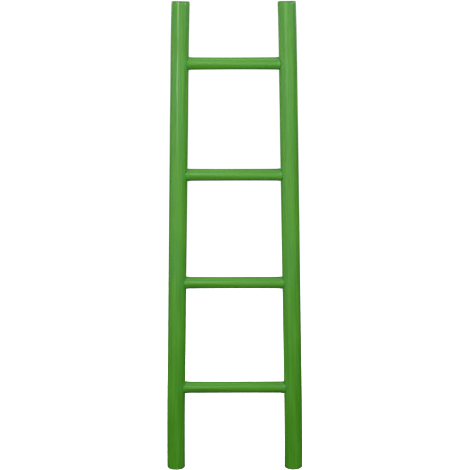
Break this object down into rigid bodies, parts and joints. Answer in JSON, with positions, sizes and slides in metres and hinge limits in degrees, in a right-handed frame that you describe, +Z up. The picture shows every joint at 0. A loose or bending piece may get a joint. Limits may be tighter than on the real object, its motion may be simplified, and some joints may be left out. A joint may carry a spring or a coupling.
{
  "type": "climbing ladder",
  "caption": "Painted wooden climbing ladder: round rails that lean in towards the top, with round rungs let into them.",
  "frame": {"origin": "on the floor, midway between the feet of the rails", "axes": "+Z up along the ladder, X along the rungs, the front faces -Y"},
  "size_m": [0.3858, 0.0498, 1.2994],
  "materials": {
    "rail_paint": "semi-gloss green paint on a round softwood pole, brushed along its length",
    "rung_paint": "semi-gloss green paint on a round hardwood dowel",
    "plug_paint": "the rails' semi-gloss green paint over a plug that is trimmed flush",
    "screw_steel": "zinc-plated steel"
  },
  "bodies": {
    "root": {"rail_left": "rail_paint", "rail_right": "rail_paint", "rung_1": "rung_paint", "rung_2": "rung_paint", "rung_3": "rung_paint", "rung_4": "rung_paint", "screw_left_1": "screw_steel", "screw_left_2": "screw_steel", "screw_left_3": "screw_steel", "screw_left_4": "screw_steel", "screw_right_1": "screw_steel", "screw_right_2": "screw_steel", "screw_right_3": "screw_steel", "screw_right_4": "screw_steel", "plug_left_1": "plug_paint", "plug_left_2": "plug_paint", "plug_left_3": "plug_paint", "plug_left_4": "plug_paint", "plug_right_1": "plug_paint", "plug_right_2": "plug_paint", "plug_right_3": "plug_paint", "plug_right_4": "plug_paint"}
  },
  "joints": []
}
